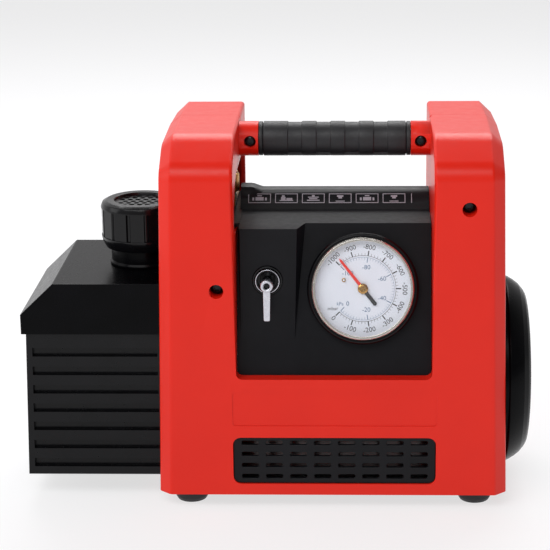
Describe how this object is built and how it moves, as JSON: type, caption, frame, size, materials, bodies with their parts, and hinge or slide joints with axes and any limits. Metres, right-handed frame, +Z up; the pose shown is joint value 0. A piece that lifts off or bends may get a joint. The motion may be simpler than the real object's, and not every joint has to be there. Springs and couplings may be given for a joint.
{
  "type": "rotary vane vacuum pump",
  "caption": "Portable rotary vane vacuum pump: red carrying housing with handle, tilted vacuum gauge, valve lever, finned oil tank, exhaust cap and fan cover.",
  "frame": {"origin": "centre of the pump's footprint, on the surface that it stands on", "axes": "+X from the oil tank towards the fan cover, -Y towards the gauge side, +Z up"},
  "size_m": [0.3936, 0.164, 0.29],
  "materials": {
    "red_plastic": "satin moulded plastic",
    "black_plastic": "fine matt texture",
    "black_rubber": "matt",
    "black_paint": "gloss powder coat",
    "blackened_steel": "black oxide",
    "cast_aluminium": "as cast",
    "cast_iron": "machined",
    "bright_steel": "bright",
    "motor_copper": "laminated core with varnished windings",
    "brass": "machined",
    "copper": "drawn tube",
    "clear_glass": "clear",
    "dial_enamel": "printed white dial",
    "pointer_red": "painted",
    "vane_composite": "fibre composite",
    "filter_felt": "felt"
  },
  "bodies": {
    "root": {"base_plate": "blackened_steel", "bearing_front": "bright_steel", "bearing_rear": "bright_steel", "capacitor": "black_plastic", "drain_plug": "brass", "exhaust_neck": "black_paint", "fan_cover": "black_paint", "foot_1": "black_rubber", "foot_2": "black_rubber", "foot_3": "black_rubber", "foot_4": "black_rubber", "front_grille": "black_plastic", "front_shell": "red_plastic", "gauge_bezel": "bright_steel", "gauge_case": "blackened_steel", "gauge_dial": "dial_enamel", "gauge_lens": "clear_glass", "gauge_line": "copper", "handle_core": "bright_steel", "handle_grip": "black_rubber", "handle_screw_left": "blackened_steel", "handle_screw_right": "blackened_steel", "high_stage_stator": "cast_iron", "inlet_manifold": "brass", "instrument_cowl": "black_plastic", "low_stage_stator": "cast_iron", "motor_end_bracket": "cast_aluminium", "motor_shell": "blackened_steel", "motor_stator": "motor_copper", "oil_tank": "black_paint", "power_inlet": "black_plastic", "pump_bracket": "cast_aluminium", "pump_end_cover": "cast_aluminium", "rear_shell": "red_plastic", "shell_screw_left": "blackened_steel", "shell_screw_right": "blackened_steel", "sight_glass": "clear_glass", "sight_glass_bezel": "bright_steel", "tank_gasket": "black_rubber", "tank_lid": "black_paint", "valve_body": "bright_steel", "valve_seat": "black_plastic"},
    "rotor_line": {"motor_shaft": "bright_steel", "motor_rotor": "bright_steel", "cooling_fan": "black_plastic", "high_stage_rotor": "bright_steel", "low_stage_rotor": "bright_steel", "high_stage_vane_1": "vane_composite", "high_stage_vane_2": "vane_composite", "low_stage_vane_1": "vane_composite", "low_stage_vane_2": "vane_composite"},
    "gauge_pointer": {"gauge_pointer": "pointer_red"},
    "valve_lever": {"valve_lever": "bright_steel"},
    "filter_lift": {"filter_element": "filter_felt"},
    "exhaust_cap": {"exhaust_cap": "black_plastic"},
    "inlet_seal_large": {"inlet_seal_large": "black_rubber"},
    "inlet_cap_large": {"inlet_cap_large": "brass"},
    "inlet_seal_small": {"inlet_seal_small": "black_rubber"},
    "inlet_cap_small": {"inlet_cap_small": "brass"},
    "power_switch": {"power_switch": "black_rubber"}
  },
  "joints": [
    {"name": "shaft_spin", "type": "hinge", "parent": "root", "child": "rotor_line", "pos_m": [0, 0, 0.088], "axis": [1, 0, 0], "continuous": true},
    {"name": "pointer_sweep", "type": "hinge", "parent": "root", "child": "gauge_pointer", "pos_m": [0.0665, -0.05379, 0.17063], "axis": [0, -0.9659, 0.2588], "range_deg": [-263.4, 6.6]},
    {"name": "lever_turn", "type": "hinge", "parent": "root", "child": "valve_lever", "pos_m": [-0.0062, -0.06, 0.179], "axis": [0, -1, 0], "range_deg": [0, 90]},
    {"name": "switch_rock", "type": "hinge", "parent": "root", "child": "power_switch", "pos_m": [0.145, 0.074, 0.1985], "axis": [1, 0, 0], "range_deg": [0, 16]},
    {"name": "exhaust_cap_lift", "type": "slide", "parent": "root", "child": "filter_lift", "axis": [0, 0, 1], "range_m": [0, 0.012]},
    {"name": "exhaust_cap_turn", "type": "hinge", "parent": "filter_lift", "child": "exhaust_cap", "pos_m": [-0.1082, 0, 0.2], "axis": [0, 0, 1], "range_deg": [0, 1080]},
    {"name": "inlet_cap_large_lift", "type": "slide", "parent": "root", "child": "inlet_seal_large", "axis": [0, 0, 1], "range_m": [0, 0.00625]},
    {"name": "inlet_cap_large_turn", "type": "hinge", "parent": "inlet_seal_large", "child": "inlet_cap_large", "pos_m": [-0.043, 0.01, 0.24], "axis": [0, 0, 1], "range_deg": [0, 1800]},
    {"name": "inlet_cap_small_lift", "type": "slide", "parent": "root", "child": "inlet_seal_small", "axis": [0, 0, 1], "range_m": [0, 0.00625]},
    {"name": "inlet_cap_small_turn", "type": "hinge", "parent": "inlet_seal_small", "child": "inlet_cap_small", "pos_m": [-0.043, 0.038, 0.238], "axis": [0, 0, 1], "range_deg": [0, 1800]}
  ],
  "couplings": [
    {"joint": "exhaust_cap_lift", "follows": "exhaust_cap_turn", "m_per_rad": 0.00063662},
    {"joint": "inlet_cap_large_lift", "follows": "inlet_cap_large_turn", "m_per_rad": 0.00019894},
    {"joint": "inlet_cap_small_lift", "follows": "inlet_cap_small_turn", "m_per_rad": 0.00019894}
  ]
}
